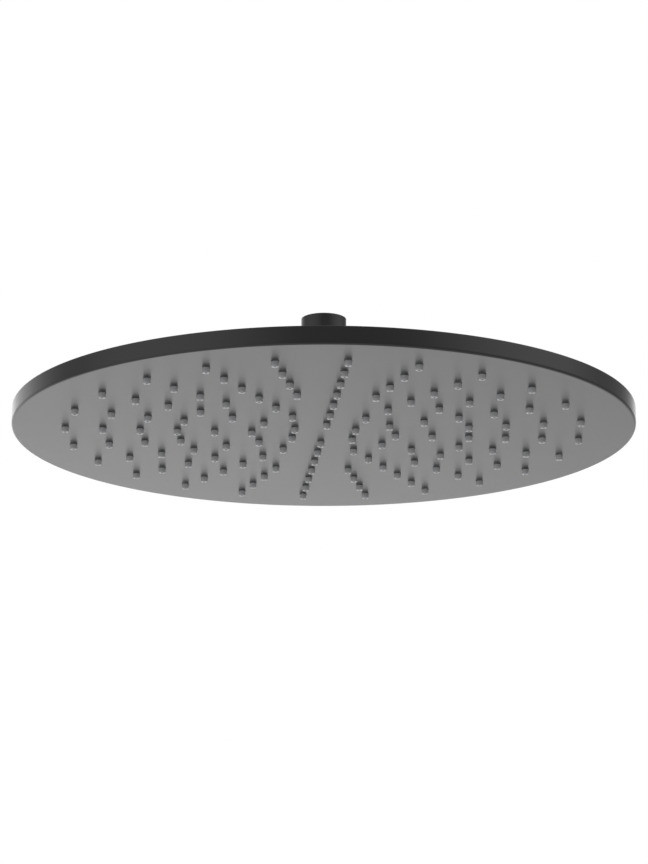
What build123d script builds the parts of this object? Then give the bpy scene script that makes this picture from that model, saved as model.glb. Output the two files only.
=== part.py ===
# Rain shower head: a flat round head on a ball joint, with an inlet nut that turns on the ball's stud.
# The origin is the middle of the inlet's mouth, +Z points up along the supply pipe and the head sprays
# down. Sizes are in millimetres.
import os
from math import pi, radians, tan

from build123d import *

os.makedirs("parts", exist_ok=True)

# Inlet nut, with a G1/2 thread left plain at its minor diameter
thread_minor_diameter = 18.631
thread_length = 9.5
nut_wall = 1.73
thread_relief = 0.5
ring_space_height = 2.6
nut_shoulder = 4.0
wrench_flat_depth = 1.0
wrench_flat_height = 5.5
mouth_chamfer = 0.4
nut_edge_chamfer = 0.15

# Washer stack on the nut's ledge
stack_clearance = 0.2
stack_play = 0.1
limiter_thickness = 1.5
limiter_hole_radius = 0.9
limiter_hole_circle = 4.0
limiter_hole_count = 8
strainer_thickness = 0.4
strainer_hole_width = 0.9
strainer_hole_pitch = 1.5
strainer_hole_rows = 5
washer_thickness = 2.0
washer_bore_radius = 5.5

# Ball stud
stud_radius = 6.0
stud_fit = 0.05
stud_bore_radius = 3.75
stud_top_gap = 0.3
stud_edge_chamfer = 0.3
neck_radius = 5.75
collar_radius = 8.5
collar_thickness = 2.0
collar_gap = 0.2
ball_radius = 11.0
ball_flat_cut = 1.5
ball_drop = 13.7

# Seal and snap ring on the stud
swivel_seal_thickness = 1.2
seal_groove_play = 0.3
ring_thickness = 1.0
ring_reach = 1.4
ring_side_gap = 0.4
ring_groove_depth = 0.8
ring_play = 0.1
ring_opening_angle = 50.0

# Ball socket
ball_clearance = 0.1
seat_wall = 1.9
socket_clearance = 0.1
seat_washer_thickness = 1.5
seat_bore_radius = 7.0
seat_drop = 4.8
friction_rise = 4.1
friction_height = 2.9
friction_bore_radius = 8.9

# Hub
hub_flange_radius = 27.0
hub_flange_thickness = 4.0
hub_flange_chamfer = 0.8
hub_floor = 2.4
hub_wall = 3.0
hub_top_gap = 1.0
passage_radius = 6.5
hub_seal_inset = 3.5
hub_seal_width = 3.0
hub_seal_thickness = 1.0
seal_clearance = 0.1

# Cap nut
cap_thread_clearance = 0.1
cap_wall = 3.4
cap_top_thickness = 3.0
cap_opening_step = 0.4
cap_flange_gap = 1.0
cap_chamfer = 2.4
flute_count = 16
flute_radius = 1.6
flute_depth = 0.6

# Head
head_radius = 150.9
rim_height = 8.5
face_edge_radius = 1.0
back_edge_radius = 0.2
face_wall = 1.8
lip_width = 3.0
ledge_width = 9.0
cover_thickness = 2.2
cover_clearance = 0.3
perimeter_seal_width = 1.8
perimeter_seal_thickness = 1.2
perimeter_seal_inset = 1.1

# Nozzle field: rings of nozzles on straight spokes, with half the spokes left out where they crowd
spoke_count = 24
spoke_angle = 35.0
least_spacing = 17.0
first_ring_radius = 17.0
ring_pitch = 18.0
ring_margin = 10.0
nozzle_radius = 1.85
nozzle_reach = 2.3
nozzle_draft = 0.22
nozzle_wall = 0.55
nozzle_tip_wall = 0.2
nozzle_hole_clearance = 0.12
orifice_radius = 0.72

# Silicone mat and the plate that holds it down
mat_thickness = 1.2
mat_clearance = 0.5
plate_thickness = 1.0
plate_clearance = 0.6
slot_width = 4.0
pillar_count = 12
pillar_radius = 3.0

# Screws
countersink_angle = 90.0
screw_clearance = 0.05
cover_screw_radius = 1.25
cover_screw_head_radius = 2.3
cover_screw_length = 6.0
cover_screw_inset = 3.0
cover_screw_count = 12
hub_screw_radius = 1.5
hub_screw_head_radius = 2.8
hub_screw_length = 5.0
hub_screw_inset = 4.0
hub_screw_count = 6
screw_hole_extra = 0.4
cover_screw_key_radius = 1.0
cover_screw_key_depth = 0.8
hub_screw_key_radius = 1.2
hub_screw_key_depth = 1.0

# Radii that several pieces share
thread_radius = thread_minor_diameter / 2
nut_radius = thread_radius + nut_wall
stack_radius = thread_radius - stack_clearance
ring_groove_radius = stud_radius - ring_groove_depth
ring_outer_radius = stud_radius + ring_reach
ring_space_radius = ring_outer_radius + ring_side_gap
socket_radius = ball_radius + ball_clearance + seat_wall
seat_radius = socket_radius - socket_clearance
hub_thread_radius = socket_radius + hub_wall
hub_seal_inner_radius = passage_radius + hub_seal_inset
hub_seal_outer_radius = hub_seal_inner_radius + hub_seal_width
hub_screw_circle = hub_flange_radius - hub_screw_inset
lip_radius = head_radius - lip_width
chamber_radius = lip_radius - ledge_width
perimeter_seal_inner_radius = chamber_radius + perimeter_seal_inset
perimeter_seal_outer_radius = perimeter_seal_inner_radius + perimeter_seal_width
cover_screw_circle = lip_radius - cover_screw_inset
nozzle_tip_radius = nozzle_radius - nozzle_draft
nozzle_channel_radius = nozzle_tip_radius - nozzle_wall

# Heights, from the mouth of the inlet down to the spray face
washer_z = -thread_length - stack_play - washer_thickness
strainer_z = washer_z - strainer_thickness
ledge_z = strainer_z - limiter_thickness
shoulder_z = ledge_z - ring_space_height
nut_bottom_z = shoulder_z - nut_shoulder
collar_top_z = nut_bottom_z - collar_gap
collar_bottom_z = collar_top_z - collar_thickness
ball_z = collar_bottom_z - ball_drop
friction_top_z = ball_z + friction_rise + friction_height
ball_flat_z = ball_z - ball_radius + ball_flat_cut
seat_washer_z = ball_flat_z - seat_washer_thickness
cover_top_z = seat_washer_z - hub_floor
flange_top_z = cover_top_z + hub_flange_thickness
cover_bottom_z = cover_top_z - cover_thickness
face_z = cover_top_z - rim_height
nozzle_tip_z = face_z - nozzle_reach
mat_bottom_z = face_z + face_wall
mat_top_z = mat_bottom_z + mat_thickness
plate_top_z = mat_top_z + plate_thickness

# Hub screws go in from below, so their plane faces down
cover_screw_plane = Plane.XY.offset(cover_top_z)
hub_screw_plane = Plane(origin=(0, 0, cover_bottom_z), x_dir=(1, 0, 0), z_dir=(0, 0, -1))

# Each ring's radius and its number of nozzles
rings = []
ring_radius = first_ring_radius
while ring_radius <= chamber_radius - ring_margin:
    ring_count = spoke_count
    while 2 * pi * ring_radius / ring_count < least_spacing:
        ring_count = ring_count // 2
    rings.append((ring_radius, ring_count))
    ring_radius += ring_pitch


def nozzle_circles(radius):
    # One circle for every nozzle, in the sketch that is open
    for ring_radius, ring_count in rings:
        with PolarLocations(ring_radius, ring_count, start_angle=spoke_angle):
            Circle(radius)


def ring_face(outer_radius, inner_radius):
    # A flat ring, in the sketch that is open
    Circle(outer_radius)
    Circle(inner_radius, mode=Mode.SUBTRACT)


def screw(radius, head_radius, length):
    # A countersunk screw, its head flush with the plane that is open
    flush = (Align.CENTER, Align.CENTER, Align.MAX)
    head_height = (head_radius - radius) / tan(radians(countersink_angle / 2))
    Cylinder(radius, length, align=flush)
    Cone(radius, head_radius, head_height, align=flush)


# Round union nut that fixes the head to the supply pipe
with BuildPart() as inlet_nut:
    with BuildSketch(Plane.XZ):
        with BuildLine():
            Polyline(
                (stud_radius + stud_fit, nut_bottom_z),
                (nut_radius, nut_bottom_z),
                (nut_radius, 0),
                (thread_radius, 0),
                (thread_radius, -thread_length),
                (thread_radius + thread_relief, -thread_length),
                (thread_radius + thread_relief, ledge_z),
                (ring_space_radius, ledge_z),
                (ring_space_radius, shoulder_z),
                (stud_radius + stud_fit, shoulder_z),
                close=True,
            )
        make_face()
    revolve(axis=Axis.Z)
    mouth_edges = inlet_nut.edges().filter_by(GeomType.CIRCLE).group_by(Axis.Z)[-1]
    chamfer(mouth_edges.sort_by(SortBy.RADIUS)[0], mouth_chamfer)
    chamfer(mouth_edges.sort_by(SortBy.RADIUS)[-1], nut_edge_chamfer)
    with BuildSketch(Plane.XY.offset(nut_bottom_z)):
        Circle(nut_radius)
        Rectangle(2 * nut_radius, 2 * (nut_radius - wrench_flat_depth), mode=Mode.SUBTRACT)
    extrude(amount=wrench_flat_height, mode=Mode.SUBTRACT)
inlet_nut.part.label = "inlet_nut"
export_step(inlet_nut.part, "parts/inlet_nut.step")

# Disc that limits the flow, resting on the nut's ledge
with BuildPart() as flow_limiter:
    with BuildSketch(Plane.XY.offset(ledge_z)):
        Circle(stack_radius)
        with PolarLocations(limiter_hole_circle, limiter_hole_count):
            Circle(limiter_hole_radius, mode=Mode.SUBTRACT)
    extrude(amount=limiter_thickness)
flow_limiter.part.label = "flow_limiter"
export_step(flow_limiter.part, "parts/flow_limiter.step")

# Perforated disc that keeps grit out
with BuildPart() as inlet_strainer:
    with BuildSketch(Plane.XY.offset(strainer_z)):
        Circle(stack_radius)
        with GridLocations(strainer_hole_pitch, strainer_hole_pitch, strainer_hole_rows, strainer_hole_rows):
            Rectangle(strainer_hole_width, strainer_hole_width, mode=Mode.SUBTRACT)
    extrude(amount=strainer_thickness)
inlet_strainer.part.label = "inlet_strainer"
export_step(inlet_strainer.part, "parts/inlet_strainer.step")

# Rubber washer that meets the end of the pipe
with BuildPart() as inlet_washer:
    with BuildSketch(Plane.XY.offset(washer_z)):
        ring_face(stack_radius, washer_bore_radius)
    extrude(amount=washer_thickness)
inlet_washer.part.label = "inlet_washer"
export_step(inlet_washer.part, "parts/inlet_washer.step")

# Stud with a bored ball; its shank turns in the nut's shoulder
stud_top_z = ledge_z - stud_top_gap
swivel_seal_z = nut_bottom_z + nut_shoulder / 2
swivel_seal_radius = stud_radius - swivel_seal_thickness / 2
seal_groove_height = swivel_seal_thickness + seal_groove_play
with BuildPart() as ball_stud:
    with BuildSketch(Plane.XZ):
        with BuildLine():
            Polyline(
                (0, ball_z),
                (neck_radius, ball_z),
                (neck_radius, collar_bottom_z),
                (collar_radius, collar_bottom_z),
                (collar_radius, collar_top_z),
                (stud_radius, collar_top_z),
                (stud_radius, stud_top_z),
                (0, stud_top_z),
                close=True,
            )
        make_face()
    revolve(axis=Axis.Z)
    top_edge = ball_stud.edges().filter_by(GeomType.CIRCLE).sort_by(Axis.Z)[-1]
    chamfer(top_edge, stud_edge_chamfer)
    with Locations((0, 0, ball_z)):
        Sphere(ball_radius)
    split(bisect_by=Plane.XY.offset(ball_flat_z), keep=Keep.TOP)
    with BuildSketch(Plane.XY.offset(swivel_seal_z - seal_groove_height / 2)):
        ring_face(stud_radius, stud_radius - swivel_seal_thickness)
    extrude(amount=seal_groove_height, mode=Mode.SUBTRACT)
    with BuildSketch(Plane.XY.offset(shoulder_z)):
        ring_face(stud_radius, ring_groove_radius)
    extrude(amount=ring_thickness + 2 * ring_play, mode=Mode.SUBTRACT)
    with Locations((0, 0, stud_top_z)):
        Hole(stud_bore_radius)
ball_stud.part.label = "ball_stud"
export_step(ball_stud.part, "parts/ball_stud.step")

# O-ring between the stud and the nut's shoulder
with BuildPart() as swivel_seal:
    with Locations((0, 0, swivel_seal_z)):
        Torus(swivel_seal_radius, swivel_seal_thickness / 2)
swivel_seal.part.label = "swivel_seal"
export_step(swivel_seal.part, "parts/swivel_seal.step")

# Open snap ring that holds the stud up in the nut
with BuildPart() as retaining_ring:
    with BuildSketch(Plane.XY.offset(shoulder_z + ring_play)):
        ring_face(ring_outer_radius, ring_groove_radius + ring_play)
        with BuildLine():
            Polyline(
                (0, 0),
                PolarLine((0, 0), 2 * ring_outer_radius, -ring_opening_angle / 2) @ 1,
                PolarLine((0, 0), 2 * ring_outer_radius, ring_opening_angle / 2) @ 1,
                close=True,
            )
        make_face(mode=Mode.SUBTRACT)
    extrude(amount=ring_thickness)
retaining_ring.part.label = "retaining_ring"
export_step(retaining_ring.part, "parts/retaining_ring.step")

# Face and rim in one piece, with a ledge inside the rim for the cover
ledge_top_z = cover_bottom_z
with BuildPart() as spray_pan:
    with BuildSketch(Plane.XZ):
        with BuildLine():
            Polyline(
                (0, face_z),
                (head_radius, face_z),
                (head_radius, cover_top_z),
                (lip_radius, cover_top_z),
                (lip_radius, ledge_top_z),
                (chamber_radius, ledge_top_z),
                (chamber_radius, mat_bottom_z),
                (0, mat_bottom_z),
                close=True,
            )
        make_face()
    revolve(axis=Axis.Z)
    rim_edges = spray_pan.edges().filter_by(GeomType.CIRCLE).group_by(SortBy.RADIUS)[-1]
    fillet(rim_edges.sort_by(Axis.Z)[0], face_edge_radius)
    fillet(rim_edges.sort_by(Axis.Z)[-1], back_edge_radius)
    with BuildSketch(Plane.XY.offset(face_z)):
        nozzle_circles(nozzle_radius + nozzle_hole_clearance)
    extrude(amount=face_wall, mode=Mode.SUBTRACT)
    with BuildSketch(Plane.XY.offset(ledge_top_z)):
        ring_face(perimeter_seal_outer_radius + seal_clearance, perimeter_seal_inner_radius - seal_clearance)
    extrude(amount=-perimeter_seal_thickness, mode=Mode.SUBTRACT)
    with Locations(cover_screw_plane):
        with PolarLocations(cover_screw_circle, cover_screw_count):
            Hole(cover_screw_radius + screw_clearance, cover_screw_length + screw_hole_extra)
spray_pan.part.label = "spray_pan"
export_step(spray_pan.part, "parts/spray_pan.step")

# Silicone mat: every nozzle is a sleeve through its hole in the face and a tapered spout below it, with a
# wide channel inside and a small orifice in the tip
from_tip_up = (Align.CENTER, Align.CENTER, Align.MIN)
with BuildPart() as nozzle_mat:
    with BuildSketch(Plane.XY.offset(mat_bottom_z)):
        Circle(chamber_radius - mat_clearance)
    extrude(amount=mat_thickness)
    with BuildSketch(Plane.XY.offset(face_z)):
        nozzle_circles(nozzle_radius)
    extrude(amount=face_wall)
    with Locations(Plane.XY.offset(nozzle_tip_z)):
        for ring_radius, ring_count in rings:
            with PolarLocations(ring_radius, ring_count, start_angle=spoke_angle):
                Cone(nozzle_tip_radius, nozzle_radius, nozzle_reach, align=from_tip_up)
    with BuildSketch(Plane.XY.offset(nozzle_tip_z + nozzle_tip_wall)):
        nozzle_circles(nozzle_channel_radius)
    extrude(amount=mat_top_z - nozzle_tip_z - nozzle_tip_wall, mode=Mode.SUBTRACT)
    with BuildSketch(Plane.XY.offset(nozzle_tip_z)):
        nozzle_circles(orifice_radius)
    extrude(amount=nozzle_tip_wall, mode=Mode.SUBTRACT)
nozzle_mat.part.label = "nozzle_mat"
export_step(nozzle_mat.part, "parts/nozzle_mat.step")

# Plate over the mat, with a slot along every spoke of nozzles
with BuildPart() as pressure_plate:
    with BuildSketch(Plane.XY.offset(mat_top_z)):
        Circle(chamber_radius - plate_clearance)
        for (start_radius, start_count), (end_radius, end_count) in zip(rings, rings[1:]):
            with PolarLocations((start_radius + end_radius) / 2, start_count, start_angle=spoke_angle):
                SlotCenterToCenter(end_radius - start_radius, slot_width, mode=Mode.SUBTRACT)
    extrude(amount=plate_thickness)
pressure_plate.part.label = "pressure_plate"
export_step(pressure_plate.part, "parts/pressure_plate.step")

# Back cover, with pillars that press the plate down between the spokes and inside the last two rings
pillar_circle = rings[-2][0] - ring_pitch / 2
half_spoke = 180 / spoke_count
with BuildPart() as top_cover:
    with BuildSketch(Plane.XY.offset(cover_bottom_z)):
        ring_face(lip_radius - cover_clearance, passage_radius)
    extrude(amount=cover_thickness)
    with BuildSketch(Plane.XY.offset(plate_top_z)):
        with PolarLocations(pillar_circle, pillar_count, start_angle=spoke_angle + half_spoke):
            Circle(pillar_radius)
    extrude(amount=cover_bottom_z - plate_top_z)
    with Locations(cover_screw_plane):
        with PolarLocations(cover_screw_circle, cover_screw_count):
            CounterSinkHole(
                cover_screw_radius + screw_clearance,
                cover_screw_head_radius + screw_clearance,
                cover_thickness,
                countersink_angle,
            )
    with Locations(hub_screw_plane):
        with PolarLocations(hub_screw_circle, hub_screw_count):
            CounterSinkHole(
                hub_screw_radius + screw_clearance,
                hub_screw_head_radius + screw_clearance,
                cover_thickness,
                countersink_angle,
            )
top_cover.part.label = "top_cover"
export_step(top_cover.part, "parts/top_cover.step")

# Square-section seal in the ledge, under the cover
with BuildPart() as perimeter_seal:
    with BuildSketch(Plane.XY.offset(ledge_top_z - perimeter_seal_thickness)):
        ring_face(perimeter_seal_outer_radius, perimeter_seal_inner_radius)
    extrude(amount=perimeter_seal_thickness)
perimeter_seal.part.label = "perimeter_seal"
export_step(perimeter_seal.part, "parts/perimeter_seal.step")

# Screws that hold the cover in the pan
with BuildPart() as cover_screws:
    with Locations(cover_screw_plane):
        with PolarLocations(cover_screw_circle, cover_screw_count):
            screw(cover_screw_radius, cover_screw_head_radius, cover_screw_length)
    with BuildSketch(cover_screw_plane):
        with PolarLocations(cover_screw_circle, cover_screw_count):
            RegularPolygon(cover_screw_key_radius, 6)
    extrude(amount=-cover_screw_key_depth, mode=Mode.SUBTRACT)
cover_screws.part.label = "cover_screws"
export_step(cover_screws.part, "parts/cover_screws.step")

# Socket for the ball, standing on the cover
with BuildPart() as hub:
    with BuildSketch(Plane.XZ):
        with BuildLine():
            Polyline(
                (passage_radius, cover_top_z),
                (hub_flange_radius, cover_top_z),
                (hub_flange_radius, flange_top_z),
                (hub_thread_radius, flange_top_z),
                (hub_thread_radius, friction_top_z - hub_top_gap),
                (socket_radius, friction_top_z - hub_top_gap),
                (socket_radius, seat_washer_z),
                (passage_radius, seat_washer_z),
                close=True,
            )
        make_face()
    revolve(axis=Axis.Z)
    flange_edges = hub.edges().filter_by(GeomType.CIRCLE).group_by(SortBy.RADIUS)[-1]
    chamfer(flange_edges.sort_by(Axis.Z)[-1], hub_flange_chamfer)
    with BuildSketch(Plane.XY.offset(cover_top_z)):
        ring_face(hub_seal_outer_radius + seal_clearance, hub_seal_inner_radius - seal_clearance)
    extrude(amount=hub_seal_thickness, mode=Mode.SUBTRACT)
    with Locations(hub_screw_plane):
        with PolarLocations(hub_screw_circle, hub_screw_count):
            Hole(hub_screw_radius + screw_clearance, hub_screw_length + screw_hole_extra)
hub.part.label = "hub"
export_step(hub.part, "parts/hub.step")

# Flat seal between the hub and the cover
with BuildPart() as hub_seal:
    with BuildSketch(Plane.XY.offset(cover_top_z)):
        ring_face(hub_seal_outer_radius, hub_seal_inner_radius)
    extrude(amount=hub_seal_thickness)
hub_seal.part.label = "hub_seal"
export_step(hub_seal.part, "parts/hub_seal.step")

# Screws from inside the cover into the hub
with BuildPart() as hub_screws:
    with Locations(hub_screw_plane):
        with PolarLocations(hub_screw_circle, hub_screw_count):
            screw(hub_screw_radius, hub_screw_head_radius, hub_screw_length)
    with BuildSketch(hub_screw_plane):
        with PolarLocations(hub_screw_circle, hub_screw_count):
            RegularPolygon(hub_screw_key_radius, 6)
    extrude(amount=-hub_screw_key_depth, mode=Mode.SUBTRACT)
hub_screws.part.label = "hub_screws"
export_step(hub_screws.part, "parts/hub_screws.step")

# Rubber washer that pushes the seat up against the ball
with BuildPart() as seat_washer:
    with BuildSketch(Plane.XY.offset(seat_washer_z)):
        ring_face(seat_radius, seat_bore_radius)
    extrude(amount=seat_washer_thickness)
seat_washer.part.label = "seat_washer"
export_step(seat_washer.part, "parts/seat_washer.step")

# Seat under the ball
with BuildPart() as ball_seat:
    with BuildSketch(Plane.XY.offset(ball_flat_z)):
        ring_face(seat_radius, seat_bore_radius)
    extrude(amount=ball_z - seat_drop - ball_flat_z)
    with Locations((0, 0, ball_z)):
        Sphere(ball_radius + ball_clearance, mode=Mode.SUBTRACT)
ball_seat.part.label = "ball_seat"
export_step(ball_seat.part, "parts/ball_seat.step")

# Ring over the ball, which sets how stiffly the head tilts
with BuildPart() as friction_ring:
    with BuildSketch(Plane.XY.offset(ball_z + friction_rise)):
        ring_face(seat_radius, friction_bore_radius)
    extrude(amount=friction_height)
    with Locations((0, 0, ball_z)):
        Sphere(ball_radius + ball_clearance, mode=Mode.SUBTRACT)
friction_ring.part.label = "friction_ring"
export_step(friction_ring.part, "parts/friction_ring.step")

# Fluted collar that screws on the hub and closes the socket
cap_bore_radius = hub_thread_radius + cap_thread_clearance
cap_radius = cap_bore_radius + cap_wall
cap_opening_radius = friction_bore_radius + cap_opening_step
cap_bottom_z = flange_top_z + cap_flange_gap
cap_top_z = friction_top_z + cap_top_thickness
with BuildPart() as cap_nut:
    with BuildSketch(Plane.XZ):
        with BuildLine():
            Polyline(
                (cap_bore_radius, cap_bottom_z),
                (cap_radius, cap_bottom_z),
                (cap_radius, cap_top_z),
                (cap_opening_radius, cap_top_z),
                (cap_opening_radius, friction_top_z),
                (cap_bore_radius, friction_top_z),
                close=True,
            )
        make_face()
    revolve(axis=Axis.Z)
    outer_edges = cap_nut.edges().filter_by(GeomType.CIRCLE).group_by(SortBy.RADIUS)[-1]
    chamfer(outer_edges.sort_by(Axis.Z)[-1], cap_chamfer)
    with BuildSketch(Plane.XY.offset(cap_bottom_z)):
        with PolarLocations(cap_radius + flute_radius - flute_depth, flute_count):
            Circle(flute_radius)
    extrude(amount=cap_top_z - cap_bottom_z, mode=Mode.SUBTRACT)
cap_nut.part.label = "cap_nut"
export_step(cap_nut.part, "parts/cap_nut.step")
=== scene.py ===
# Rain shower head: the finish of every surface, the turned spray pan, the silicone nozzles and the
# inlet's thread. Lengths are in metres and angles in degrees.
from math import cos, pi, radians, sin

import bmesh
import bpy
import numpy as np
from mathutils.geometry import delaunay_2d_cdt
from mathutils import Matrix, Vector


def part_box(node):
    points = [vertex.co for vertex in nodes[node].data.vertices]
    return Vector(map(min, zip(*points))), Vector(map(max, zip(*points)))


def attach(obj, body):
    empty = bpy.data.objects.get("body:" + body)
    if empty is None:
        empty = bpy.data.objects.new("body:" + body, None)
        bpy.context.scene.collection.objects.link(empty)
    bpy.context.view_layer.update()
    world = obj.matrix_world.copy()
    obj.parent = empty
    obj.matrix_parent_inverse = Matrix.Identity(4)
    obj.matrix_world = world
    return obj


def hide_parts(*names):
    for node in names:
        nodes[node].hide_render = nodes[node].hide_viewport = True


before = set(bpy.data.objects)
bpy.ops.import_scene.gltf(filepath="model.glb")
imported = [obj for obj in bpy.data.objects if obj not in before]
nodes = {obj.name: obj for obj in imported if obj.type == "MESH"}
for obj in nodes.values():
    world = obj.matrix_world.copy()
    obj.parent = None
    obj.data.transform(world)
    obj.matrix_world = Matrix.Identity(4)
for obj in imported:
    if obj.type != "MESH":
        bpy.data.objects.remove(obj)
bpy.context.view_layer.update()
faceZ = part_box("spray_pan")[0].z
print("frame loaded:", len(nodes), "nodes, spray face at", round(faceZ, 4))


class Wire:
    # An output socket of a node tree; arithmetic on it adds Math nodes
    def __init__(self, tree, socket=None):
        self.tree = tree
        self.socket = socket

    def node(self, kind, settings=(), sockets=(), output=0):
        # Any node: its settings come first, then the values or links of its sockets
        made = self.tree.nodes.new(kind)
        for name, value in dict(settings).items():
            setattr(made, name, value)
        for name, value in dict(sockets).items():
            if isinstance(value, Wire):
                self.tree.links.new(value.socket, made.inputs[name])
            else:
                made.inputs[name].default_value = value
        return Wire(self.tree, made.outputs[output] if made.outputs else None)

    def maths(self, operation, *values):
        return self.node("ShaderNodeMath", {"operation": operation}, enumerate(values))

    def __add__(self, other):
        return self.maths("ADD", self, other)

    def __sub__(self, other):
        return self.maths("SUBTRACT", self, other)

    def __rsub__(self, other):
        return self.maths("SUBTRACT", other, self)

    def __mul__(self, other):
        return self.maths("MULTIPLY", self, other)

    __radd__ = __add__
    __rmul__ = __mul__


def noise(place, scale, detail=2.0):
    return place.node("ShaderNodeTexNoise", {}, {"Vector": place, "Scale": scale, "Detail": detail})


def ease(value, low, high):
    # 0 below low and 1 above high, with a smooth step between
    return value.node("ShaderNodeMapRange", {"interpolation_type": "SMOOTHSTEP"}, {
        "Value": value, "From Min": low, "From Max": high,
    })


def wander(pattern, swing):
    # Turns a pattern of 0 to 1 into a value that goes as far as swing to each side of 0
    return (pattern - 0.5) * (2 * swing)


def blendColour(factor, low, high):
    # The colour sockets of a Mix node are its inputs 6 and 7 and its output 2
    return factor.node("ShaderNodeMix", {"data_type": "RGBA"}, {
        0: factor, 6: (*low, 1), 7: (*high, 1),
    }, output=2)


def bump(height, depth):
    # depth is the real height of the relief
    return height.node("ShaderNodeBump", {}, {"Distance": depth, "Height": height})


def reachFrom(place, centre):
    # How far a place is from a point
    return place.node("ShaderNodeVectorMath", {"operation": "DISTANCE"}, {
        0: place, 1: centre,
    }, output="Value")


def newTree(name):
    # Starts a material and gives its Object coordinates
    material = bpy.data.materials.new(name)
    material.use_nodes = True
    material.node_tree.nodes.clear()
    start = Wire(material.node_tree)
    return material, start.node("ShaderNodeTexCoord", output="Object")


def closeTree(material, place, sockets):
    shader = place.node("ShaderNodeBsdfPrincipled", {}, sockets)
    place.node("ShaderNodeOutputMaterial", {}, {"Surface": shader})
    return material


# In every finish: dark and light are the two colours of its pattern, swing is how far the roughness
# wanders, relief is the height of its bumps, and patterns are counted per metre

# Satin black coat of the head, hub and cap
satinBlack = {
    "dark": (0.0091, 0.0092, 0.0094),
    "light": (0.0129, 0.0131, 0.0133),
    "metallic": 0.0,
    "roughness": 0.30,
    "swing": 0.015,
    "cloud": 60.0,       # soft patches
    "cloudDetail": 3.0,
    "grain": 4000.0,     # fine grain of the powder coat
    "relief": 8.0e-6,
}

# Grey silicone of the nozzle mat
greySilicone = {
    "dark": (0.365, 0.369, 0.378),
    "light": (0.395, 0.399, 0.408),
    "metallic": 0.0,
    "roughness": 0.40,
    "swing": 0.08,
    "cloud": 220.0,
    "cloudDetail": 3.0,
    "grain": 5000.0,
    "relief": 2.0e-6,
}

# Black rubber of the seals and washers
blackRubber = {
    "dark": (0.014, 0.014, 0.014),
    "light": (0.028, 0.028, 0.027),
    "metallic": 0.0,
    "roughness": 0.62,
    "swing": 0.14,
    "cloud": 500.0,
    "cloudDetail": 3.0,
    "grain": 4000.0,
    "relief": 8.0e-6,
}

# Blackened steel of the cover screws
blackSteel = {
    "dark": (0.018, 0.018, 0.020),
    "light": (0.045, 0.045, 0.048),
    "metallic": 0.8,
    "roughness": 0.36,
    "swing": 0.14,
    "cloud": 900.0,
    "cloudDetail": 4.0,
    "grain": 6000.0,
    "relief": 3.0e-6,
}

# White acetal of the limiter, seat, friction ring and pressure plate
whiteAcetal = {
    "dark": (0.72, 0.72, 0.69),
    "light": (0.80, 0.80, 0.77),
    "metallic": 0.0,
    "roughness": 0.38,
    "swing": 0.08,
    "cloud": 180.0,
    "cloudDetail": 3.0,
    "grain": 4000.0,
    "relief": 3.0e-6,
}


def mottledFinish(name, look):
    # Soft patches of colour and gloss over a fine grain
    material, place = newTree(name)
    cloud = noise(place, look["cloud"], look["cloudDetail"])
    grain = noise(place, look["grain"])
    return closeTree(material, place, {
        "Base Color": blendColour(cloud, look["dark"], look["light"]),
        "Metallic": look["metallic"],
        "Roughness": look["roughness"] + wander(cloud, look["swing"]),
        "Normal": bump(grain, look["relief"]),
    })


# Turned black coat of the inlet nut, with fine rings from the lathe
turnedBlack = {
    "dark": (0.0100, 0.0101, 0.0103),
    "light": (0.0146, 0.0148, 0.0150),
    "roughness": 0.40,
    "swing": 0.06,
    "rings": 1300.0,     # per metre of height
    "relief": 1.4e-5,
    "cloud": 120.0,
    "cloudDetail": 3.0,
}


def turnedFinish(name, look):
    material, place = newTree(name)
    height = place.node("ShaderNodeSeparateXYZ", {}, {"Vector": place}, output="Z")
    rings = place.node("ShaderNodeTexNoise", {"noise_dimensions": "1D"}, {
        "W": height, "Scale": look["rings"],
    })
    cloud = noise(place, look["cloud"], look["cloudDetail"])
    return closeTree(material, place, {
        "Base Color": blendColour(rings, look["dark"], look["light"]),
        "Roughness": look["roughness"] + wander((cloud + rings) * 0.5, look["swing"]),
        "Normal": bump(rings, look["relief"]),
    })


# Ball stud: black plated, rubbed smooth where the ball turns in its seat
ballBlack = {
    "dark": (0.010, 0.010, 0.011),
    "light": (0.016, 0.016, 0.017),
    "roughness": 0.32,
    "rubbed": 0.14,          # roughness of the ball
    "swing": 0.04,
    "centre": -0.036,        # height of the ball's centre
    "rubbedTo": 0.01122,     # distance from that centre up to which it is rubbed
    "freshFrom": 0.01188,    # and from which it isn't
    "cloud": 300.0,
    "cloudDetail": 3.0,
    "grain": 3000.0,
    "relief": 1.0e-6,
}


def ballFinish(name, look):
    material, place = newTree(name)
    reach = reachFrom(place, (0, 0, look["centre"]))
    fresh = ease(reach, look["rubbedTo"], look["freshFrom"])
    smooth = (1 - fresh) * (look["rubbed"] - look["roughness"])
    cloud = noise(place, look["cloud"], look["cloudDetail"])
    grain = noise(place, look["grain"])
    return closeTree(material, place, {
        "Base Color": blendColour(cloud, look["dark"], look["light"]),
        "Roughness": look["roughness"] + smooth + wander(cloud, look["swing"]),
        "Normal": bump(grain, look["relief"]),
    })


# Stainless steel of the strainer, the snap ring and the hub screws
stainless = {
    "dark": (0.42, 0.41, 0.40),
    "light": (0.60, 0.59, 0.57),
    "roughness": 0.30,
    "swing": 0.12,
    "stretch": (0.04, 1.0, 1.0),    # draws the pattern out into brush lines along X
    "lines": 9000.0,
    "lineDetail": 3.0,
    "relief": 1.5e-6,
}


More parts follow.
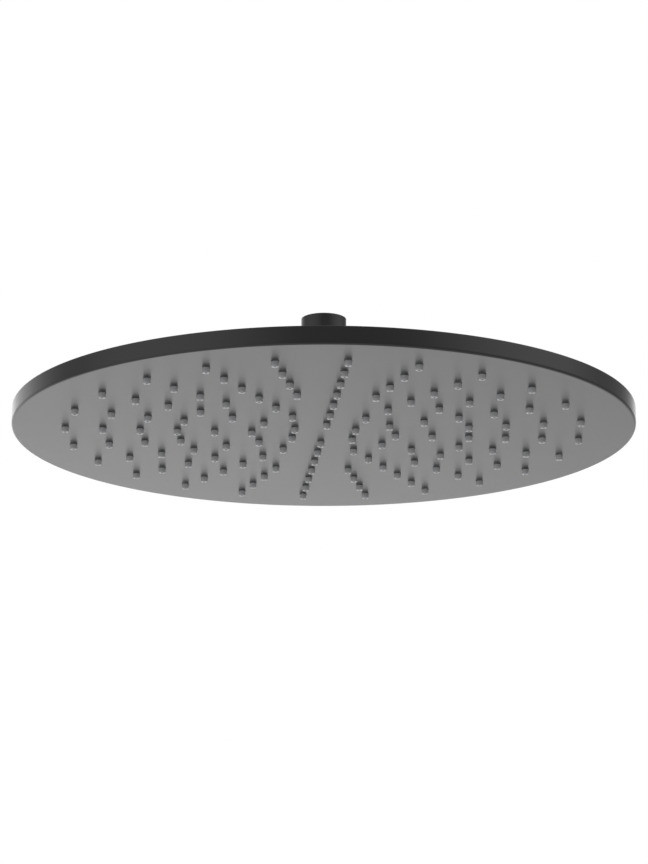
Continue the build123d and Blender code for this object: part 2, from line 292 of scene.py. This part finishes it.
def brushedFinish(name, look):
    material, place = newTree(name)
    drawn = place.node("ShaderNodeMapping", {}, {"Vector": place, "Scale": look["stretch"]})
    lines = noise(drawn, look["lines"], look["lineDetail"])
    return closeTree(material, place, {
        "Base Color": blendColour(lines, look["dark"], look["light"]),
        "Metallic": 1.0,
        "Roughness": look["roughness"] + wander(lines, look["swing"]),
        "Normal": bump(lines, look["relief"]),
    })


# Which finish each node of the frame gets
finishes = {
    "headBlack": (mottledFinish, satinBlack, ["spray_pan", "top_cover", "hub", "cap_nut"]),
    "turnedBlack": (turnedFinish, turnedBlack, ["inlet_nut"]),
    "ballBlack": (ballFinish, ballBlack, ["ball_stud"]),
    "greySilicone": (mottledFinish, greySilicone, ["nozzle_mat"]),
    "blackRubber": (mottledFinish, blackRubber, [
        "inlet_washer", "swivel_seal", "perimeter_seal", "hub_seal", "seat_washer",
    ]),
    "stainlessSteel": (brushedFinish, stainless, ["inlet_strainer", "retaining_ring", "hub_screws"]),
    "blackSteel": (mottledFinish, blackSteel, ["cover_screws"]),
    "whiteAcetal": (mottledFinish, whiteAcetal, [
        "flow_limiter", "ball_seat", "friction_ring", "pressure_plate",
    ]),
}
materials = {}
for name, (make, look, members) in finishes.items():
    materials[name] = make(name, look)
    for member in members:
        for entry in nodes[member].material_slots:
            entry.material = materials[name]
print("finishes:", len(materials))


# Points nearer than this become one, in a finished mesh and in a disc while it is cut
weld = {"mesh": 2e-6, "disc": 1e-7}
middle = np.zeros((1, 2))


def addPiece(name, form, material, body, node, crease):
    # Makes a mesh of points and faces that stands for a CAD node and rides on its body; folds steeper than
    # crease stay sharp
    points, faces = form
    mesh = bpy.data.meshes.new(name)
    mesh.from_pydata(points, [], faces)
    shell = bmesh.new()
    shell.from_mesh(mesh)
    bmesh.ops.remove_doubles(shell, verts=shell.verts, dist=weld["mesh"])
    bmesh.ops.recalc_face_normals(shell, faces=shell.faces)
    shell.to_mesh(mesh)
    shell.free()
    mesh.shade_smooth()
    mesh.set_sharp_from_angle(angle=radians(crease))
    mesh.materials.append(material)
    piece = bpy.data.objects.new(name, mesh)
    bpy.context.scene.collection.objects.link(piece)
    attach(piece, body)
    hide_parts(node)
    print(name + ":", len(mesh.polygons), "faces")


def ringOf(count, radius=1.0, start=0.0):
    # Points evenly spaced round a circle: radius times the cosine and sine of the turn
    turn = radians(start) + 2 * pi * np.arange(count) / count
    return radius * np.stack([np.cos(turn), np.sin(turn)], axis=1)


def gridFaces(rows, sides, pairs):
    # Faces between neighbouring rows of a grid, whose rows are closed rings. With as many pairs as rows, the
    # last row is joined to the first.
    row = np.arange(pairs)[:, None]
    side = np.arange(sides)[None, :]
    below, after = (row + 1) % rows, (side + 1) % sides
    corners = [row * sides + side, row * sides + after, below * sides + after, below * sides + side]
    return np.stack(np.broadcast_arrays(*corners), axis=2).reshape(-1, 4)


def turned(radius, height, sides, centres):
    # A section of radius and height turned about each centre: centres x rows x sides
    circle = ringOf(sides)
    plan = centres[:, None, None, :] + np.array(radius)[None, :, None, None] * circle[None, None, :, :]
    level = np.broadcast_to(np.array(height)[None, :, None, None], plan.shape[:3] + (1,))
    count, rows = plan.shape[:2]
    start = (np.arange(count) * rows * sides)[:, None, None]
    faces = start + gridFaces(rows, sides, rows - 1)[None, :, :]
    return np.concatenate([plan, level], axis=3).reshape(-1, 3), faces.reshape(-1, 4)


def holedDisc(discRadius, discSides, height, holes):
    # A flat disc with round holes, cut into triangles; each entry of holes is (radius, sides, centres)
    points, edges, owners, count = [], [], [], 0
    for radius, sides, at in [*holes, (discRadius, discSides, middle)]:
        points.append(turned([radius], [height], sides, at)[0][:, :2])
        first = count + sides * np.arange(len(at))[:, None]
        step = np.arange(sides)
        edges.append(np.stack([first + step, first + (step + 1) % sides], axis=2).reshape(-1, 2))
        owners.append(np.repeat(first, sides))
        count += sides * len(at)
    # The disc's own edge has an owner for each point, and a hole one for all its points
    owners[-1] = count - 1 - np.arange(discSides)
    owner = np.concatenate(owners)
    insideEdges = 2    # the kind of cut that keeps what the edges enclose
    cut = delaunay_2d_cdt(np.concatenate(points).tolist(), np.concatenate(edges).tolist(), [],
                          insideEdges, weld["disc"])
    spread, faces = np.array(cut[0]), np.array(cut[2])
    source = np.array([group[0] for group in cut[3]])
    # Triangles with all three corners on one hole fill that hole, so they are left out
    owned = owner[source[faces]]
    between = (owned != owned[:, :1]).any(axis=1)
    return np.column_stack([spread, np.full(len(spread), height)]), faces[between]


def joined(parts):
    # One list of points and one of faces from several of each
    starts = np.cumsum([0] + [len(points) for points, faces in parts])
    faces = [face for start, (points, faces) in zip(starts, parts) for face in (faces + start).tolist()]
    return np.concatenate([points for points, faces in parts]), faces


def arc(centreRadius, centreHeight, size, low, high, steps):
    # Points of a rounded edge in the section, from one angle to the other
    angle = np.radians(np.linspace(low, high, steps + 1))
    return centreRadius + size * np.cos(angle), centreHeight + size * np.sin(angle)


# Where the nozzles are: rings on straight spokes, half of the spokes left out where they crowd
spray = {
    "spokes": 24,
    "firstAngle": 35.0,
    "leastSpacing": 0.017,   # between neighbours on a ring
    "firstRing": 0.017,      # radius of the inmost ring
    "ringPitch": 0.018,
    "ringCount": 7,
}


def nozzleCentres(look):
    # On each ring the spokes are halved until neighbours are at least leastSpacing apart
    centres = []
    for ring in look["firstRing"] + look["ringPitch"] * np.arange(look["ringCount"]):
        halvings = np.ceil(np.log2(look["spokes"] * look["leastSpacing"] / (2 * pi * ring)))
        count = int(look["spokes"] / 2 ** max(halvings, 0))
        centres.append(ringOf(count, ring, look["firstAngle"]))
    return np.concatenate(centres)


centres = nozzleCentres(spray)
print("nozzles:", len(centres))


# Face and rim of the head, turned finely so that its edges stay round close up
sprayPan = {
    "faceEdge": 0.0010,
    "faceSteps": 6,          # flats along the rounded edge
    "backEdge": 0.0002,
    "backSteps": 3,
    "guard": 0.0003,         # narrow band beside each rounded edge that keeps the flats flat
    "lip": 0.0030,           # width of the rim round the cover
    "ledge": 0.0090,         # width of the seat under the cover
    "cover": 0.0022,         # how deep that seat lies
    "wall": 0.0018,          # thickness of the face
    "sealInset": 0.0010,     # groove of the seal in the ledge, from the chamber's wall
    "sealWidth": 0.0020,
    "sealDepth": 0.0012,
    "screwCount": 12,
    "screwInset": 0.0030,
    "screwHole": 0.0013,
    "screwDepth": 0.0064,    # from the back of the head
    "hole": 0.00197,         # radius of a nozzle's hole
    "sides": 360,
    "holeSides": 24,
    "crease": 35,
}


def panForm(look):
    # Section: from the face round the rim to the lip and down to the cover's ledge, then through the groove
    # of the seal and into the chamber
    low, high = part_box("spray_pan")
    outer, top = min(*high.xy, *-low.xy), high.z
    edge, back, guard = look["faceEdge"], look["backEdge"], look["guard"]
    lip = outer - look["lip"]
    chamber = lip - look["ledge"]
    grooveIn = chamber + look["sealInset"]
    grooveOut = grooveIn + look["sealWidth"]
    seat, under = top - look["cover"], low.z + look["wall"]
    grooveFloor, screwFloor = seat - look["sealDepth"], top - look["screwDepth"]
    faceArc = arc(outer - edge, low.z + edge, edge, -90, 0, look["faceSteps"])
    backArc = arc(outer - back, top - back, back, 0, 90, look["backSteps"])
    faceFlat, backFlat = outer - edge - guard, outer - back - guard
    sideLow, sideHigh = low.z + edge + guard, top - back - guard
    rimRadius = [faceFlat, *faceArc[0], outer, outer, *backArc[0], backFlat, lip, lip]
    rimHeight = [low.z, *faceArc[1], sideLow, sideHigh, *backArc[1], top, top, seat]
    ledgeRadius = [grooveOut, grooveOut, grooveIn, grooveIn, chamber, chamber]
    ledgeHeight = [seat, grooveFloor, grooveFloor, seat, seat, under]
    screws = ringOf(look["screwCount"], lip - look["screwInset"])
    sides, holeSides = look["sides"], look["holeSides"]
    hole, screwHole = look["hole"], look["screwHole"]
    return joined([
        turned(rimRadius, rimHeight, sides, middle),
        turned(ledgeRadius, ledgeHeight, sides, middle),
        holedDisc(faceFlat, sides, low.z, [(hole, holeSides, centres)]),
        holedDisc(chamber, sides, under, [(hole, holeSides, centres)]),
        holedDisc(lip, sides, seat, [(grooveOut, sides, middle), (screwHole, holeSides, screws)]),
        turned([hole, hole], [low.z, under], holeSides, centres),
        turned([screwHole, screwHole, 0], [seat, screwFloor, screwFloor], holeSides, screws),
    ])


addPiece("sprayPan", panForm(sprayPan), materials["headBlack"], "head", "spray_pan",
         sprayPan["crease"])


# Silicone mat with a stem through each hole of the pan
nozzles = {
    "radius": 0.00185,       # at the spray face
    "tipRadius": 0.00163,
    "tipRound": 0.00010,
    "tipSteps": 2,
    "tipWall": 0.0002,       # thin skin round the orifice
    "orifice": 0.00072,      # radius of the hole in the tip
    "channel": 0.00108,      # radius of the hole behind it
    "sheet": 0.0012,         # thickness of the mat
    "sides": 16,
    "sheetSides": 160,
    "crease": 50,
}


def nozzleMat(look):
    # Section of a stem: down its sleeve and its taper, round the tip, in to the orifice and up the channel
    low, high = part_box("nozzle_mat")
    tip, top, under = low.z, high.z, high.z - look["sheet"]
    base, rim = look["radius"], high.x
    orifice, channel, skin = look["orifice"], look["channel"], tip + look["tipWall"]
    tipRound = look["tipRound"]
    tipArc = arc(look["tipRadius"] - tipRound, tip + tipRound, tipRound, 0, -90, look["tipSteps"])
    radius = [base, base, *tipArc[0], orifice, orifice, channel, channel]
    height = [under, faceZ, *tipArc[1], tip, skin, skin, top]
    sides, sheetSides = look["sides"], look["sheetSides"]
    return joined([
        turned(radius, height, sides, centres),
        holedDisc(rim, sheetSides, under, [(base, sides, centres)]),
        holedDisc(rim, sheetSides, top, [(channel, sides, centres)]),
        turned([rim, rim], [under, top], sheetSides, middle),
    ])


addPiece("nozzleField", nozzleMat(nozzles), materials["greySilicone"], "head", "nozzle_mat",
         nozzles["crease"])


# Inlet nut with its pipe thread cut in
inletThread = {
    "minor": 0.0093155,      # smallest radius of the thread
    "depth": 0.001162,
    "pitch": 0.001814,
    "chamfer": 0.0004,
    "edge": 0.00015,
    "length": 0.0095,
    "runOut": 0.0010,        # height over which the groove fades at each end
    "relief": 0.0098155,     # radius of the plain bore past the thread
    "ledge": -0.0135,        # height of the step under the flow limiter
    "ringSpace": 0.0078,     # radius of the room for the snap ring
    "shoulder": -0.0161,     # height of the step under the snap ring
    "bore": 0.00605,
    "flat": 0.0100455,       # half the width across the wrench flats
    "flatTop": -0.0146,
    "sides": 96,
    "rowsPerTurn": 10,
    "crease": 35,
}


def threadedNut(look):
    # Rows of radius and height round the nut's section, each a full turn.
    # Flats: radius = flat / |sin(turn)|, and the outer radius where that would be more.
    # Thread: radius = minor + depth * (1 - cos(2 pi z / pitch + turn)) / 2
    low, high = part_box("inlet_nut")
    outer, edge, chamfer = high.x, look["edge"], look["chamfer"]
    flat, bore, space, relief = look["flat"], look["bore"], look["ringSpace"], look["relief"]
    corner = np.arcsin(flat / outer)
    turn = 2 * pi * np.arange(look["sides"]) / look["sides"]
    turn = np.sort(np.append(turn, [corner, pi - corner, pi + corner, 2 * pi - corner]))
    flats = flat / np.maximum(np.abs(np.sin(turn)), flat / outer)
    threadRows = int(look["length"] / look["pitch"] * look["rowsPerTurn"])
    level = np.linspace(-chamfer, -look["length"], threadRows)[:, None]
    fade = np.clip(np.minimum(-chamfer - level, level + look["length"]) / look["runOut"], 0, 1)
    wave = (1 - np.cos(2 * pi * level / look["pitch"] + turn[None, :])) / 2
    thread = look["minor"] + look["depth"] * fade * wave
    rows = [
        (bore, low.z), (flats, low.z), (flats, look["flatTop"]), (outer, look["flatTop"]),
        (outer, -edge), (outer - edge, 0), (look["minor"] + chamfer, 0),
        *zip(thread, level[:, 0]),
        (relief, -look["length"]), (relief, look["ledge"]), (space, look["ledge"]),
        (space, look["shoulder"]), (bore, look["shoulder"]),
    ]
    radii, heights = zip(*rows)
    radius = np.array([np.broadcast_to(each, turn.shape) for each in radii])
    height = np.broadcast_to(np.array(heights)[:, None], radius.shape)
    points = np.stack([radius * np.cos(turn), radius * np.sin(turn), height], axis=2)
    return points.reshape(-1, 3), gridFaces(len(rows), len(turn), len(rows)).tolist()


addPiece("threadedNut", threadedNut(inletThread), materials["turnedBlack"], "inlet", "inlet_nut",
         inletThread["crease"])


# Pale floor far below, as under a shower, fading out at its edge
floor = {
    "height": -2.4,
    "radius": 3.0,
    "middleRadius": 0.02,    # of the single face that closes its middle
    "fadeFrom": 1.2,
    "fadeTo": 2.85,
    "colour": (0.85, 0.85, 0.85),
    "lift": 0.55,            # how far the floor is raised to white for the camera alone
    "rings": 24,
    "sides": 96,
}


def layFloor(look):
    # A flat disc: radius and turn on a grid
    radius = np.linspace(look["radius"], look["middleRadius"], look["rings"])
    points, faces = turned(radius, np.full(look["rings"], look["height"]), look["sides"], middle)
    lastRing = np.arange(len(points) - look["sides"], len(points))
    mesh = bpy.data.meshes.new("floor")
    mesh.from_pydata(points, [], faces.tolist() + [lastRing.tolist()])
    disc = bpy.data.objects.new("floor", mesh)
    bpy.context.scene.collection.objects.link(disc)
    material, place = newTree("paleFloor")
    rays = place.node("ShaderNodeLightPath", output="Is Camera Ray")
    fade = ease(reachFrom(place, (0, 0, look["height"])), look["fadeFrom"], look["fadeTo"])
    matt = place.node("ShaderNodeBsdfDiffuse", {}, {"Color": (*look["colour"], 1)})
    white = place.node("ShaderNodeEmission", {}, {"Color": (1, 1, 1, 1), "Strength": 1.0})
    clear = place.node("ShaderNodeBsdfTransparent")
    pale = place.node("ShaderNodeMixShader", {}, {0: rays * look["lift"], 1: matt, 2: white})
    faded = place.node("ShaderNodeMixShader", {}, {0: fade, 1: pale, 2: clear})
    place.node("ShaderNodeOutputMaterial", {}, {"Surface": faded})
    mesh.materials.append(material)


layFloor(floor)
print("floor laid")


# Studio round the head: each glow is (azimuth, elevation, inner angle, outer angle, gain). Azimuth 0 is
# behind the camera and grows to its right, and a glow fades from its inner to its outer angle.
studio = {
    "base": 0.24,
    "glows": {
        "leftBox": (-58, 5, 4, 51, 0.71),
        "rightBox": (76, 37, 17, 44, 0.86),
        "backWall": (-172, 7, 31, 46, 0.455),
        "backLeft": (-144, -3, 2, 46, 0.53),
        "backGlow": (-179, 13, 13, 28, 1.66),
        "ceiling": (0, 90, 25, 80, 0.65),
        "ground": (0, -90, 40, 88, 0.55),
    },
}


def lightStudio(look):
    # A glow is 1 where the cosine of the angle to its centre is that of the inner angle or more
    world = bpy.data.worlds.new("studio")
    bpy.context.scene.world = world
    world.use_nodes = True
    world.node_tree.nodes.clear()
    place = Wire(world.node_tree).node("ShaderNodeTexCoord", output="Generated")
    level = look["base"]
    for azimuth, elevation, inner, outer, gain in look["glows"].values():
        side, rise = radians(azimuth), radians(elevation)
        centre = (sin(side) * cos(rise), -cos(side) * cos(rise), sin(rise))
        near = place.node("ShaderNodeVectorMath", {"operation": "DOT_PRODUCT"}, {
            0: place, 1: centre,
        }, output="Value")
        level = level + ease(near, cos(radians(outer)), cos(radians(inner))) * gain
    lens = place.node("ShaderNodeLightPath", output="Is Camera Ray")
    glass = place.node("ShaderNodeLightPath", output="Is Transmission Ray")
    seen = lens.maths("MAXIMUM", lens, glass)
    strength = level * (1 - seen) + seen
    backdrop = place.node("ShaderNodeBackground", {}, {"Color": (1, 1, 1, 1), "Strength": strength})
    place.node("ShaderNodeOutputWorld", {}, {"Surface": backdrop})


lightStudio(studio)
print("studio lit")


# Camera below the head, in front of it and tilted up at the spray face
camera = {
    "lens": 125.0,
    "side": 0.00013,
    "back": 1.40666,
    "below": 0.37654,
    "tilt": 15.0113,
}


def placeCamera(look):
    eye = bpy.data.objects.new("camera", bpy.data.cameras.new("camera"))
    eye.data.lens = look["lens"]
    eye.location = (look["side"], -look["back"], faceZ - look["below"])
    eye.rotation_euler = (radians(90 + look["tilt"]), 0, 0)
    bpy.context.scene.collection.objects.link(eye)
    bpy.context.scene.camera = eye


placeCamera(camera)
bpy.context.scene.view_settings.view_transform = "Standard"
print("camera placed")
